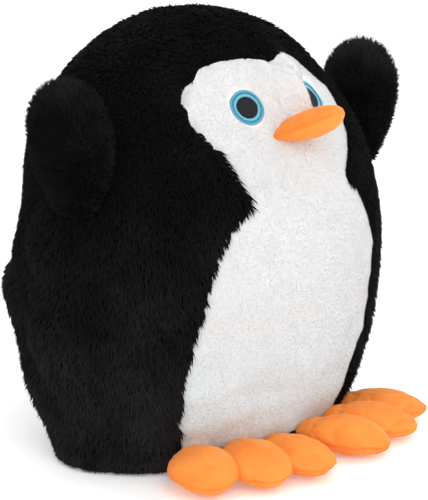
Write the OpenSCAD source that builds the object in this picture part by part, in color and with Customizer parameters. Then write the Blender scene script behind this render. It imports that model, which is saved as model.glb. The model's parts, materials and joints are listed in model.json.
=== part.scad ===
// Plush penguin: a stuffed body sewn from fur and plush panels, with a
// stuffed beak, two raised flippers and two three-toed feet.
// It sits on the floor at z = 0, its body's axis is the Z axis and it
// looks along -Y, so its left side is +X.

/* [Body] */
// Height of the body over its fur, from the floor to the crown
body_height = 378; // [320:1:460]
// Width of the body over its fur, at its widest level
body_width = 374; // [300:1:450]
// Depth of the body over its fur, at its widest level
body_depth = 290; // [240:1:350]
// Height of the widest level above the floor
waist_height = 172; // [140:1:210]
// How far the crown lies behind the body's axis
crown_back = 14; // [0:1:24]
// How far the outline draws in from the widest level to the floor
bottom_inset = 34; // [10:1:45]
// Radius of the edge round the bottom
bottom_edge = 8; // [5:1:14]

/* [Fabric] */
// Thickness of the black fur fabric, pile included
fur_pile = 9; // [6:0.5:12]
// Thickness of the fur fabric under the body, flattened by its weight
base_pile = 4; // [2.5:0.5:6]
// Thickness of the short white plush, pile included
plush_pile = 4; // [2.5:0.5:6]
// Thickness of the orange velour, pile included
velour_pile = 2.5; // [1.5:0.1:4]
// Play between the stuffing and the fabric round it
stuffing_play = 0.2; // [0.1:0.05:0.5]

/* [Seams] */
// Height of the seam between the bottom panel and the panels above it
base_seam = 15; // [10:1:24]
// How far the side seams lie in front of the body's axis
side_seam = 30; // [15:1:45]

/* [Face] */
// Distance from the crown down to the top of the face
face_drop = 38; // [26:1:60]
// Height of the face, from its top to the seam over the belly
face_height = 106; // [85:1:125]
// Width of the face at the eyes
face_width = 188; // [150:1:205]
// Depth of the notch in the middle of the face's upper edge
face_notch = 12; // [6:1:24]
// Width of the throat, where the face meets the belly
throat_width = 134; // [100:1:160]
// Width of the white belly
belly_width = 236; // [180:1:255]

/* [Eyes] */
// Distance between the eyes' centres
eye_spacing = 86; // [70:1:110]
// Distance from the crown down to the eyes' centres
eye_drop = 74; // [65:1:90]
// Diameter of the embroidered eye
eye_diameter = 31; // [18:0.5:36]
// Width of the dark ring round the iris
eye_ring = 2.4; // [0.8:0.1:3]
// Diameter of the pupil
pupil_diameter = 18.5; // [8:0.5:22]
// How far the stitches stand out of the plush
stitch_height = 1; // [0.6:0.1:2]

/* [Beak] */
// Width of the beak where it is sewn to the face
beak_width = 62; // [50:1:80]
// How far the beak stands out of the face
beak_length = 48; // [30:1:60]
// Thickness of the beak at the face
beak_thickness = 27; // [18:1:36]
// Distance from the crown down to the middle of the beak
beak_drop = 92; // [84:1:102]
// Upward tilt of the beak
beak_tilt = 24; // [0:1:32]

/* [Flippers] */
// Length of a flipper, from its seam to its tip
flipper_length = 108; // [90:1:140]
// Width of a flipper at its broadest
flipper_width = 92; // [70:1:110]
// Thickness of a flipper at its fullest
flipper_thickness = 36; // [26:1:44]
// Length of the seam that holds a flipper to the body
flipper_seam = 38; // [24:1:56]
// Distance from the crown down to the flippers' seams
shoulder_drop = 147; // [130:1:170]
// Outward lean of a raised flipper
flipper_lean = 7; // [4:1:20]
// Forward lean of a raised flipper
flipper_rake = 3; // [0:1:15]
// Turn of a flipper's flat side towards the front
flipper_turn = 8; // [0:1:20]

/* [Feet] */
// Length of a toe, from the body to its tip
toe_length = 76; // [58:1:88]
// Width of a toe at its broadest
toe_width = 57; // [44:1:58]
// Height of a toe's top above its edge seam
toe_rise = 22; // [16:1:30]
// Height of the toes' edge seams above the floor
toe_seam = 15; // [11:1:22]
// Distance between the roots of the two feet's middle toes
foot_spacing = 127; // [122:1:150]
// How far neighbouring toes of a foot run into each other
toe_join = 6.5; // [5:0.5:12]
// Heading of the middle toe, outward from straight ahead
foot_heading = 24.5; // [22:0.5:36]
// Turn from one toe's heading to the next
toe_fan = 8.5; // [6:0.5:15]
// How far a foot can be lifted on its seam
foot_lift = 25; // [10:1:30]
// How far a foot can hang down from its seam
foot_hang = 40; // [10:1:50]

/* [Hidden] */

// Sides of the body: the penguin's own left is +X
LEFT = 1;
RIGHT = -1;

black = "#1c1c1f";
white = "#f2f2f0";
orange = "#ff9a45";
light_blue = "#5cc8ec";
deep_blue = "#2f86a8";
charcoal = "#2b2f36";
fibre = "#e9e6dc";

// Gap between the body's fur and a flipper or foot that swings on it
swing_gap = 0.5;
// Thickness of the two sewn layers in a swinging part's seam
seam_thickness = 3.6;
// How far a swinging part's seam is drawn into the body before it is trimmed
root_overlap = 3;
// How far the beak is drawn into the face before it is trimmed
beak_overlap = 12;
// Height of the toes' lowest points above the floor
toe_clearance = 0.5;
// Larger than the whole toy, for cutting blocks
far = 900;

// Half sizes of the stuffing inside the body's fabric
core_w = body_width / 2 - fur_pile;
core_d = body_depth / 2 - fur_pile;
core_dome = body_height - waist_height - fur_pile;
body_points = 48;
dome_rings = 11;
skirt_rings = 7;
edge_rings = 3;

// ---- The body's shape, "out" millimetres outside its stuffing ----

// Floor level of the shape: the fur is flattened under the body
function floor_at(out) = base_pile * (1 - out / fur_pile);

// Backward lean at a share of the way up the dome
function lean_at(share) = crown_back * pow(share, 2);

// Half width, half depth, height and lean at an angle up the dome
function dome_ring(angle, out) = [
  (core_w + out) * cos(angle),
  (core_d + out) * cos(angle),
  waist_height + (core_dome + out) * sin(angle),
  lean_at(sin(angle))
];

// The same at a share of the way from the waist down to the bottom edge
function skirt_ring(share, out) =
  let (draw = bottom_inset * pow(share, 2))
  let (low = floor_at(out) + bottom_edge)
  [core_w + out - draw, core_d + out - draw, waist_height - share * (waist_height - low), 0];

// The same round the bottom edge
function edge_ring(angle, out) =
  let (start = skirt_ring(1, out))
  let (inset = bottom_edge * (1 - cos(angle)))
  [start[0] - inset, start[1] - inset, start[2] - bottom_edge * sin(angle), 0];

function body_rings(out) = concat(
  [for (i = [dome_rings - 1 : -1 : 0]) dome_ring(90 * i / dome_rings, out)],
  [for (i = [1 : skirt_rings]) skirt_ring(i / skirt_rings, out)],
  [for (i = [1 : edge_rings]) edge_ring(90 * i / edge_rings, out)]
);

module body_solid(out) {
  rings = body_rings(out);
  count = len(rings);
  crown = [[0, crown_back, waist_height + core_dome + out]];
  walls = [for (ring = rings) for (i = [0 : body_points - 1]) [
    ring[0] * cos(360 * i / body_points),
    ring[1] * sin(360 * i / body_points) + ring[3],
    ring[2]
  ]];
  function at(ring, i) = 1 + ring * body_points + (i + body_points) % body_points;
  top_faces = [for (i = [0 : body_points - 1]) [0, at(0, i + 1), at(0, i)]];
  wall_faces = [for (r = [0 : count - 2]) for (i = [0 : body_points - 1])
    [at(r, i), at(r, i + 1), at(r + 1, i + 1), at(r + 1, i)]];
  bottom_face = [[for (i = [0 : body_points - 1]) at(count - 1, i)]];
  polyhedron(concat(crown, walls), concat(top_faces, wall_faces, bottom_face));
}

// A fabric shell of the given thickness over the stuffing
module skin(thickness) {
  difference() {
    body_solid(thickness);
    body_solid(0);
  }
}

// Half sizes of the dome, and a point on its front and on its side
function dome_size(out) = [core_w + out, core_d + out, core_dome + out];
function dome_front(x, z, out) =
  let (size = dome_size(out))
  let (rise = (z - waist_height) / size[2])
  [x, lean_at(rise) - size[1] * sqrt(1 - pow(x / size[0], 2) - pow(rise, 2)), z];
function dome_side(side, y, z, out) =
  let (size = dome_size(out))
  let (rise = (z - waist_height) / size[2])
  [side * size[0] * sqrt(1 - pow((y - lean_at(rise)) / size[1], 2) - pow(rise, 2)), y, z];

// The way out of the dome at a point on it
function dome_normal(point, out) =
  let (size = dome_size(out))
  let (rise = (point[2] - waist_height) / size[2])
  let (forward = (point[1] - lean_at(rise)) / pow(size[1], 2))
  [point[0] / pow(size[0], 2), forward, (rise - forward * 2 * crown_back * rise) / size[2]];

// ---- Cutting blocks and outlines ----

module half_side(side) {
  translate([side > 0 ? 0 : -far, -far, -far]) cube([far, 2 * far, 2 * far]);
}

module above(level) {
  translate([-far, -far, level]) cube([2 * far, 2 * far, far]);
}

module below(level) {
  translate([-far, -far, level - far]) cube([2 * far, 2 * far, far]);
}

module in_front_of(y) {
  translate([-far, y - far, -far]) cube([2 * far, far, 2 * far]);
}

module behind(y) {
  translate([-far, y, -far]) cube([2 * far, far, 2 * far]);
}

// A smooth line through hand-placed points
curve_steps = 4;
function spline_point(a, b, c, d, t) = 0.5 * (2 * b + t * (c - a) + t * t * (2 * a - 5 * b + 4 * c - d)
  + t * t * t * (3 * b - a - 3 * c + d));
function smooth_line(points) =
  let (last = len(points) - 1)
  [for (i = [0 : last - 1]) for (k = [0 : (i == last - 1 ? curve_steps : curve_steps - 1)])
    spline_point(points[max(0, i - 1)], points[i], points[i + 1], points[min(last, i + 2)], k / curve_steps)];
function mirrored(points) =
  let (last = len(points) - 1)
  concat(points, [for (i = [last : -1 : 0]) [-points[i][0], points[i][1]]]);

face_top = body_height - face_drop;
throat = face_top - face_height;

// Left-hand half of the face's outline, from its notch round to the throat
face_half = smooth_line([
  [0, face_top - face_notch],
  [0.14 * face_width / 2, face_top - 0.30 * face_notch],
  [0.45 * face_width / 2, face_top],
  [0.70 * face_width / 2, face_top - 0.08 * face_height],
  [0.90 * face_width / 2, face_top - 0.22 * face_height],
  [face_width / 2, face_top - 0.42 * face_height],
  [0.95 * face_width / 2, face_top - 0.56 * face_height],
  [0.81 * face_width / 2, face_top - 0.79 * face_height],
  [throat_width / 2, throat]
]);

// Left-hand half of the belly's outline, from the throat to below its lower seam
belly_drop = throat - base_seam;
belly_half = smooth_line([
  [throat_width / 2, throat],
  [0.78 * belly_width / 2, throat - 0.09 * belly_drop],
  [0.88 * belly_width / 2, throat - 0.22 * belly_drop],
  [0.97 * belly_width / 2, throat - 0.38 * belly_drop],
  [belly_width / 2, throat - 0.56 * belly_drop],
  [0.98 * belly_width / 2, throat - 0.72 * belly_drop],
  [0.84 * belly_width / 2, throat - 0.94 * belly_drop],
  [0.72 * belly_width / 2, throat - 1.07 * belly_drop]
]);

module front_prism(half_outline) {
  rotate([90, 0, 0]) linear_extrude(far) polygon(mirrored(half_outline));
}

// ---- A leaf-shaped cushion: it lies along +Y from its seam at the origin,
// with its edge seam in the XY plane and its top towards +Z ----

leaf_points = 20;
leaf_rings = 6;
function leaf_stations(widest) = concat(
  [for (i = [0 : leaf_rings - 1]) widest * i / leaf_rings],
  [for (i = [0 : leaf_rings - 1]) widest + (1 - widest) * sin(90 * i / leaf_rings)]
);
// Share of the full size at a station, from the root's share to the rounded tip
function leaf_share(t, widest, root) = t < widest
  ? root + (1 - root) * sin(90 * t / widest)
  : sqrt(1 - pow((t - widest) / (1 - widest), 2));

module leaf(length, width, rise, drop, root_width, root_height, widest) {
  stations = leaf_stations(widest);
  count = len(stations);
  rings = [for (t = stations) for (i = [0 : leaf_points - 1])
    let (angle = 360 * i / leaf_points)
    let (crest = sin(angle) > 0 ? rise : drop)
    let (lift = sin(angle) * crest * leaf_share(t, widest, root_height / crest))
    [cos(angle) * width / 2 * leaf_share(t, widest, root_width / width), length * t, lift * sqrt(abs(sin(angle)))]];
  tip = [[0, length, 0]];
  function at(ring, i) = ring * leaf_points + (i + leaf_points) % leaf_points;
  root_face = [[for (i = [leaf_points - 1 : -1 : 0]) at(0, i)]];
  wall_faces = [for (r = [0 : count - 2]) for (i = [0 : leaf_points - 1])
    [at(r, i), at(r, i + 1), at(r + 1, i + 1), at(r + 1, i)]];
  tip_faces = [for (i = [0 : leaf_points - 1]) [at(count - 1, i), at(count - 1, i + 1), count * leaf_points]];
  polyhedron(concat(rings, tip), concat(root_face, wall_faces, tip_faces));
}

// ---- Body ----

module torso_filling() {
  color(fibre) body_solid(-stuffing_play);
}

module white_areas() {
  front_prism(face_half);
  front_prism(belly_half);
}

module side_panel(side) {
  color(black) difference() {
    intersection() {
      skin(fur_pile);
      half_side(side);
      in_front_of(-side_seam);
      above(base_seam);
    }
    white_areas();
  }
}

module back_panel(side) {
  color(black) intersection() {
    skin(fur_pile);
    half_side(side);
    behind(-side_seam);
    above(base_seam);
  }
}

module base_panel() {
  color(black) intersection() {
    skin(fur_pile);
    below(base_seam);
  }
}

module face_panel(side) {
  color(white) intersection() {
    skin(plush_pile);
    half_side(side);
    front_prism(face_half);
  }
}

module belly_panel() {
  color(white) intersection() {
    skin(plush_pile);
    front_prism(belly_half);
    above(base_seam);
  }
}

// ---- Embroidered eyes ----

// Stitches between two diameters, standing on the plush
module eye_stitches(side, outer, inner) {
  centre = dome_front(side * eye_spacing / 2, body_height - eye_drop, plush_pile);
  normal = dome_normal(centre, plush_pile);
  intersection() {
    skin(plush_pile + stitch_height);
    difference() {
      translate(centre)
        rotate([0, acos(normal[2] / norm(normal)), atan2(normal[1], normal[0])])
          difference() {
            cylinder(h = outer, d = outer, center = true, $fn = 40);
            if (inner > 0) cylinder(h = 2 * outer, d = inner, center = true, $fn = 40);
          }
      body_solid(plush_pile);
    }
  }
}

module eye_ring_patch(side) {
  color(deep_blue) eye_stitches(side, eye_diameter, eye_diameter - 2 * eye_ring);
}

module iris(side) {
  color(light_blue) eye_stitches(side, eye_diameter - 2 * eye_ring, pupil_diameter);
}

module pupil(side) {
  color(charcoal) eye_stitches(side, pupil_diameter, 0);
}

// ---- Beak ----

beak_seat = dome_front(0, body_height - beak_drop, plush_pile);

module beak_shape(inside) {
  translate(beak_seat) rotate([-beak_tilt, 0, 0]) rotate([0, 0, 180])
    translate([0, -beak_overlap, 0])
      leaf(
        beak_length + beak_overlap - inside,
        beak_width - 3 * inside,
        beak_thickness / 2 - inside,
        beak_thickness / 2 - inside,
        beak_width - 3 * inside,
        beak_thickness / 2 - inside,
        beak_overlap / (beak_length + beak_overlap)
      );
}

// The half space over or under the beak's edge seam
module beak_half(up) {
  translate(beak_seat) rotate([-beak_tilt, 0, 0]) {
    if (up) above(0);
    else below(0);
  }
}

module beak_skin(up) {
  color(orange) intersection() {
    difference() {
      beak_shape(0);
      beak_shape(velour_pile);
      body_solid(plush_pile);
    }
    beak_half(up);
  }
}

module beak_filling() {
  color(fibre) difference() {
    beak_shape(velour_pile + stuffing_play);
    body_solid(plush_pile + stuffing_play);
  }
}

// ---- Flippers ----

function shoulder(side) = dome_side(side, -side_seam, body_height - shoulder_drop, fur_pile);

// A flipper's frame: its length stands up and its local +Z faces the body
module at_shoulder(side) {
  translate(shoulder(side))
    rotate([0, 0, -side * flipper_turn])
      rotate([flipper_rake, side * flipper_lean, 0])
        rotate([90, 0, -90 * side])
          children();
}

flipper_widest = 0.56;
// How far the stuffing starts beyond the sewn root
flipper_root = 16;

module flipper_shape() {
  translate([0, -root_overlap, 0])
    leaf(
      flipper_length + root_overlap,
      flipper_width,
      flipper_thickness / 2,
      flipper_thickness / 2,
      flipper_seam,
      seam_thickness / 2,
      flipper_widest
    );
}

module flipper_core(inside) {
  translate([0, flipper_root + inside, 0])
    leaf(
      flipper_length - flipper_root - fur_pile - 2 * inside,
      flipper_width - 2 * fur_pile - 2 * inside,
      flipper_thickness / 2 - fur_pile - inside,
      flipper_thickness / 2 - fur_pile - inside,
      flipper_seam / 3,
      1,
      flipper_widest
    );
}

module flipper_skin(side, away) {
  color(black) difference() {
    at_shoulder(side) intersection() {
      difference() {
        flipper_shape();
        flipper_core(0);
      }
      if (away) below(0);
      else above(0);
    }
    body_solid(fur_pile + swing_gap);
  }
}

module flipper_filling(side) {
  color(fibre) at_shoulder(side) flipper_core(stuffing_play);
}

// ---- Feet ----

// Half width and half depth of the body over its fur at the toes' roots
root_ring = skirt_ring(1, fur_pile);
// Angle round the bottom from the front to the middle toe's root
foot_angle = asin(foot_spacing / 2 / root_ring[0]);
toe_widest = 0.62;
// Distance between neighbouring toes' roots, and the angle round the bottom that it spans
toe_pitch = toe_width - toe_join - toe_widest * toe_length * sin(toe_fan);
toe_step = 2 * asin(toe_pitch / 2 / norm([root_ring[0] * cos(foot_angle), root_ring[1] * sin(foot_angle)]));
// How far the stuffing starts beyond the sewn root
toe_root = 7;

// One toe of a foot: 0 is the inner toe, 1 the middle one and 2 the outer one
module at_toe(side, toe) {
  angle = foot_angle + (toe - 1) * toe_step;
  heading = foot_heading + (toe - 1) * toe_fan;
  translate([side * root_ring[0] * sin(angle), -root_ring[1] * cos(angle), toe_seam])
    rotate([0, 0, side * heading - 180])
      children();
}

// The middle of a foot's seam, and the way it faces, outward from straight ahead
foot_seam_out = 1;
foot_facing = atan2(root_ring[1] * sin(foot_angle), root_ring[0] * cos(foot_angle));
function foot_pivot(side) = [
  side * (root_ring[0] * sin(foot_angle) + foot_seam_out * sin(foot_facing)),
  -root_ring[1] * cos(foot_angle) - foot_seam_out * cos(foot_facing),
  toe_seam
];

// Turns something round a foot's seam; positive lifts what lies in front
module swung(side, angle) {
  translate(foot_pivot(side))
    rotate([0, 0, side * foot_facing])
      rotate([-angle, 0, 0])
        rotate([0, 0, -side * foot_facing])
          translate(-foot_pivot(side))
            children();
}

// The space that the body takes up round a foot's half, at rest and at its limit
module body_round_foot(side, limit) {
  for (angle = [0, limit]) swung(side, angle) body_solid(fur_pile + swing_gap);
}

module toe_shape() {
  translate([0, -root_overlap, 0])
    leaf(
      toe_length + root_overlap,
      toe_width,
      toe_rise,
      toe_seam - toe_clearance,
      toe_width / 2,
      seam_thickness / 2,
      toe_widest
    );
}

module toe_core(inside) {
  translate([0, toe_root + inside, 0])
    leaf(
      toe_length - toe_root - velour_pile - 2 * inside,
      toe_width - 4 * velour_pile - 2 * inside,
      toe_rise - velour_pile - inside,
      toe_seam - toe_clearance - velour_pile - inside,
      toe_width / 4,
      1,
      toe_widest
    );
}

module foot_skin(side, up) {
  color(orange) difference() {
    intersection() {
      union() {
        for (toe = [0 : 2]) at_toe(side, toe) toe_shape();
      }
      if (up) above(toe_seam);
      else below(toe_seam);
    }
    for (toe = [0 : 2]) at_toe(side, toe) toe_core(0);
    body_round_foot(side, up ? -foot_lift : foot_hang);
  }
}

module foot_filling(side) {
  color(fibre) for (toe = [0 : 2]) at_toe(side, toe) toe_core(stuffing_play);
}

torso_filling();
side_panel(LEFT);  // side_panel_left
side_panel(RIGHT);  // side_panel_right
back_panel(LEFT);  // back_panel_left
back_panel(RIGHT);  // back_panel_right
base_panel();
face_panel(LEFT);  // face_panel_left
face_panel(RIGHT);  // face_panel_right
belly_panel();
eye_ring_patch(LEFT);  // eye_ring_left
eye_ring_patch(RIGHT);  // eye_ring_right
iris(LEFT);  // iris_left
iris(RIGHT);  // iris_right
pupil(LEFT);  // pupil_left
pupil(RIGHT);  // pupil_right
beak_skin(true);  // beak_upper
beak_skin(false);  // beak_lower
beak_filling();
flipper_skin(LEFT, true);  // flipper_outer_left
flipper_skin(RIGHT, true);  // flipper_outer_right
flipper_skin(LEFT, false);  // flipper_inner_left
flipper_skin(RIGHT, false);  // flipper_inner_right
flipper_filling(LEFT);  // flipper_filling_left
flipper_filling(RIGHT);  // flipper_filling_right
foot_skin(LEFT, true);  // foot_upper_left
foot_skin(RIGHT, true);  // foot_upper_right
foot_skin(LEFT, false);  // foot_sole_left
foot_skin(RIGHT, false);  // foot_sole_right
foot_filling(LEFT);  // foot_filling_left
foot_filling(RIGHT);  // foot_filling_right
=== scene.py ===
import json
import math

import bmesh
import bpy
import numpy as np
from mathutils import Matrix, Vector, kdtree, noise
from mathutils.bvhtree import BVHTree


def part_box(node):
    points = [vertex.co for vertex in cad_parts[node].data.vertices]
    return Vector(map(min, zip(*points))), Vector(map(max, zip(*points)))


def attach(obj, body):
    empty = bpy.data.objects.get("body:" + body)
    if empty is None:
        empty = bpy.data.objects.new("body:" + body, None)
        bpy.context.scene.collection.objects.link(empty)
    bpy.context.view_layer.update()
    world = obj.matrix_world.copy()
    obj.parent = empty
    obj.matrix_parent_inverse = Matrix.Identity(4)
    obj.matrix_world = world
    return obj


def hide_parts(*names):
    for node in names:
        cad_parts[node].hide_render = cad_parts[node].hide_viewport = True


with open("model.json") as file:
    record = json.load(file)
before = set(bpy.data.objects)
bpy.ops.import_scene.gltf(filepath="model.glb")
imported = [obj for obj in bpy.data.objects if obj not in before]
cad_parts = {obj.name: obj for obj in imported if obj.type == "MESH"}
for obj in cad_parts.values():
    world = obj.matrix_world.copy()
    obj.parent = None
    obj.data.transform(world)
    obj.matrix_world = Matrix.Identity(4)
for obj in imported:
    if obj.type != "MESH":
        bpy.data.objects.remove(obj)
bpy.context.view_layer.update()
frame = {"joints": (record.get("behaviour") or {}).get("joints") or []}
MM = 0.001
# The smooth random numbers that the pile wanders by start from the clock unless they are seeded
noise.seed_set(12)

# ---- The body's form, worked out from its stuffing ----

CORE_LOW, CORE_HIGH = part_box("torso_filling")
HALF_WIDTH = (CORE_HIGH.x - CORE_LOW.x) / 2
HALF_DEPTH = (CORE_HIGH.y - CORE_LOW.y) / 2
WAIST = 172 * MM
CROWN_BACK = 14 * MM
BOTTOM_INSET = 34 * MM
BOTTOM_EDGE = 8 * MM
BASE_PILE = 3 * MM

# How far each surface lies outside the stuffing
PLUSH_OUT = 4 * MM
ROOTS_OUT = 3.5 * MM

# Latitudes of the round form at which its skirt ends and its bottom edge ends
SKIRT_END = -62
EDGE_END = -70

# The seam round the bottom panel, and the side seam's distance in front of the axis
BASE_SEAM = 15 * MM
SIDE_SEAM = -30 * MM

# Front outlines of the white panels as (x, z) in mm, from the cleft over the brow
# down to the notch at the throat, and from there to the bottom
BROW_RIGHT = [(8, 332), (-1, 336), (-13, 338), (-38, 338), (-61, 333), (-79, 321),
              (-90, 305), (-90, 291), (-83, 275), (-76, 257), (-70, 242), (-66, 232)]
BROW_LEFT = [(8, 332), (17, 334), (28, 337), (39, 336), (52, 332), (65, 325),
             (80, 313), (92, 297), (86, 278), (73, 260), (59, 246), (55, 236)]
BELLY_RIGHT = [(-66, 232), (-84, 214), (-98, 190), (-108, 160), (-114, 130),
               (-117, 100), (-115, 66), (-109, 34), (-100, 0)]
BELLY_LEFT = [(55, 236), (78, 216), (93, 190), (101, 160), (104, 125),
              (100, 92), (88, 58), (78, 30), (74, 0)]
# Drop of the seam over the belly from the middle to the notches
THROAT_MIDDLE = 249
THROAT_SAG = 15


def body_section(latitude, out):
    """Half width, half depth, height and backward lean of the form at a latitude, grown by out."""
    if latitude >= 0:
        rise = math.sin(math.radians(latitude))
        reach = math.cos(math.radians(latitude))
        height = WAIST + (CORE_HIGH.z - WAIST + out) * rise
        return (HALF_WIDTH + out) * reach, (HALF_DEPTH + out) * reach, height, CROWN_BACK * rise ** 2
    floor = BASE_PILE * (1 - out / (9 * MM))
    share = min(latitude / SKIRT_END, 1)
    draw = BOTTOM_INSET * share ** 2
    height = WAIST - share * (WAIST - floor - BOTTOM_EDGE)
    turn = math.radians(90 * min(max((latitude - SKIRT_END) / (EDGE_END - SKIRT_END), 0), 1))
    draw += BOTTOM_EDGE * (1 - math.cos(turn))
    height -= BOTTOM_EDGE * math.sin(turn)
    flat = min(max((latitude + 90) / (EDGE_END + 90), 0), 1)
    return (HALF_WIDTH + out - draw) * flat, (HALF_DEPTH + out - draw) * flat, height, 0


def body_point(way, out):
    """The place on the form, grown by out, that lies in a direction from its middle."""
    latitude = math.degrees(math.asin(max(-1, min(1, way.z))))
    across, deep, height, lean = body_section(latitude, out)
    reach = math.hypot(way.x, way.y) or 1
    return Vector((across * way.x / reach, deep * way.y / reach + lean, height))


# Soft dents and swells of the stuffed body: place, reach along x, y and z, and how far they go
# out, all in mm
SWELLS = [
    ((-128, 96, 207), (70, 60, 46), -18),
    ((-140, 84, 150), (60, 60, 18), 5),
    ((-130, 90, 104), (60, 60, 26), -4),
    ((-108, 96, 20), (70, 70, 24), -13),
    ((-125, 45, 3), (60, 60, 14), 3),
    ((-156, -14, 2), (45, 45, 20), 13),
    ((-112, -76, 2), (40, 40, 16), 5),
    ((-150, 40, 168), (26, 30, 40), 4),
    ((-120, -80, 120), (30, 40, 60), 2.5),
    ((128, 96, 190), (60, 60, 46), -6),
    ((60, 138, 120), (60, 40, 50), 3),
    ((0, 145, 210), (60, 40, 50), -4),
    ((-50, 140, 260), (60, 40, 40), 3),
    ((70, -50, 350), (40, 60, 24), 3.5),
    ((26, -18, 372), (50, 50, 30), 1.3),
    ((17, -93, 318), (12, 60, 27), 15.5),
    ((8, -106, 290), (24, 60, 14), 2),
    ((-42, -92, 300), (24, 60, 22), -2.5),
    ((50, -91, 303), (18, 60, 22), -6),
    ((-34, -76, 328), (26, 60, 14), 2.5),
    ((38, -76, 328), (18, 60, 14), 2.5),
    ((0, -120, 262), (50, 60, 14), 2.5),
    ((0, -140, 160), (70, 60, 60), 2.5),
    ((-30, -120, 60), (40, 60, 20), -2),
]

# Folds of the front as (x, z) of two ends and their middle, reach across, and how deep, all in mm
FRONT_FOLDS = [
    ((8, 332), (14, 322), (22, 310), 3.5, 4),
    ((-76, 328), (-62, 320), (-50, 309), 5, 1.3),
    ((-30, 336), (-24, 324), (-18, 312), 4, 1.2),
    ((-62, 268), (-52, 252), (-48, 236), 5, 1.6),
    ((-40, 266), (-34, 254), (-30, 240), 5, 1.2),
    ((-96, 196), (-88, 180), (-74, 168), 6, 1.8),
    ((-30, 226), (0, 216), (40, 222), 7, 1.2),
    ((60, 190), (74, 170), (80, 150), 6, 1.4),
    ((-90, 60), (-60, 70), (-20, 64), 8, 0.6),
    ((-70, 36), (-40, 44), (-6, 40), 7, 0.6),
    ((60, 60), (40, 70), (16, 58), 8, 0.6),
]
# Folds of the sides and back, as the turn from the front in degrees, to the toy's left, and the height
SIDE_FOLDS = [
    ((-62, 120), (-66, 80), (-66, 14), 6, 4),
    ((-98, 176), (-96, 146), (-102, 118), 9, 4),
    ((-104, 110), (-98, 86), (-92, 60), 9, 4),
    ((-80, 150), (-84, 120), (-80, 96), 8, 4),
    ((-128, 70), (-122, 56), (-126, 40), 8, 2),
    ((-96, 226), (-102, 204), (-100, 190), 8, 4),
    ((116, 160), (112, 130), (108, 90), 9, 4),
    ((-160, 170), (180, 158), (164, 166), 10, 4),
    ((150, 110), (154, 80), (148, 50), 9, 3),
]


def fold_depth(place):
    """How deep the folds are at a place, in mm."""
    turn = math.degrees(math.atan2(place.x, -place.y))
    if place.y < -30:
        folds, at = FRONT_FOLDS, Vector((place.x, place.z))
        scale = 1
    else:
        folds, at = SIDE_FOLDS, Vector((turn * 2.7, place.z))
        scale = 2.7
    depth = 0
    for start, middle, end, reach, deep in folds:
        best = 1e9
        for a, b in ((start, middle), (middle, end)):
            a, b = Vector((a[0] * scale, a[1])), Vector((b[0] * scale, b[1]))
            share = max(0, min(1, (at - a).dot(b - a) / (b - a).length_squared))
            best = min(best, (at - a.lerp(b, share)).length)
        if best < 3 * reach:
            depth += deep * math.exp(-(best / reach) ** 2)
    return depth


def sculpted(place, normal):
    """A place on the body after its dents, swells and folds."""
    spot = place / MM
    out = 0
    for middle, reach, height in SWELLS:
        away = sum(((spot[i] - middle[i]) / reach[i]) ** 2 for i in range(3))
        if away < 7:
            out += height * math.exp(-away)
    out -= fold_depth(spot)
    out += 1.6 * noise.noise(place * 19) + 0.7 * noise.noise(place * 47)
    settle = min(1, max(0, (place.z - 4 * MM) / (30 * MM)))
    move = normal * out * MM
    return place + Vector((move.x, move.y, move.z * settle))


# ---- Panels and seams ----

def smooth_line(points, steps=5):
    """A smooth line through points, in metres."""
    padded = [points[0]] + list(points) + [points[-1]]
    line = []
    for a, b, c, d in zip(padded, padded[1:], padded[2:], padded[3:]):
        a, b, c, d = (Vector(p) * MM for p in (a, b, c, d))
        for k in range(steps):
            t = k / steps
            line.append(0.5 * (2 * b + t * (c - a) + t * t * (2 * a - 5 * b + 4 * c - d)
                               + t ** 3 * (3 * b - a - 3 * c + d)))
    line.append(Vector(points[-1]) * MM)
    return line


WHITE_RIGHT = smooth_line(BROW_RIGHT + BELLY_RIGHT[1:])
WHITE_LEFT = smooth_line(BROW_LEFT + BELLY_LEFT[1:])
WHITE_EDGE = WHITE_RIGHT[::-1] + WHITE_LEFT[1:]


def inside(outline, x, z):
    """Whether a point lies inside a closed outline."""
    found = False
    for a, b in zip(outline, outline[1:] + outline[:1]):
        if (a.y > z) != (b.y > z) and x < (b.x - a.x) * (z - a.y) / (b.y - a.y) + a.x:
            found = not found
    return found


def nearest_on(line, x, z):
    """The nearest point of an open line."""
    spot = Vector((x, z))
    best, found = 1e9, None
    for a, b in zip(line, line[1:]):
        share = max(0, min(1, (spot - a).dot(b - a) / max((b - a).length_squared, 1e-12)))
        at = a.lerp(b, share)
        if (spot - at).length < best:
            best, found = (spot - at).length, at
    return found


def throat_at(x):
    """The height of the seam over the belly at x."""
    return (THROAT_MIDDLE - THROAT_SAG * (x / (64 * MM)) ** 2) * MM


def white_side(place):
    """Positive on the white panels and negative outside them; the size is the distance from their edge."""
    if place.y > SIDE_SEAM:
        return -1
    away = (Vector((place.x, place.z)) - nearest_on(WHITE_EDGE, place.x, place.z)).length
    return away if inside(WHITE_EDGE, place.x, place.z) else -away


def panel_of(place):
    """The panel that a place on the body belongs to."""
    side = "left" if place.x > 0 else "right"
    if place.z < BASE_SEAM:
        return "base"
    if white_side(place) > 0:
        return "belly" if place.z < throat_at(place.x) else "face_" + side
    return ("side_" if place.y < SIDE_SEAM else "back_") + side


def snap_to(form, measure, move):
    """Moves the nearer end of every edge that crosses a seam onto it."""
    values = {v: measure(v.co) for v in form.verts}
    for edge in form.edges:
        a, b = edge.verts
        if values[a] * values[b] < 0:
            near = a if abs(values[a]) < abs(values[b]) else b
            near.co = move(near.co)
            values[near] = 0


def onto_white_edge(place):
    """The place moved sideways and up or down onto the edge of the white panels."""
    at = nearest_on(WHITE_EDGE, place.x, place.z)
    return Vector((at.x, place.y, at.y))


PANELS = ["side_left", "side_right", "back_left", "back_right", "base", "face_left", "face_right", "belly"]
WHITE_FROM = 5


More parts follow.
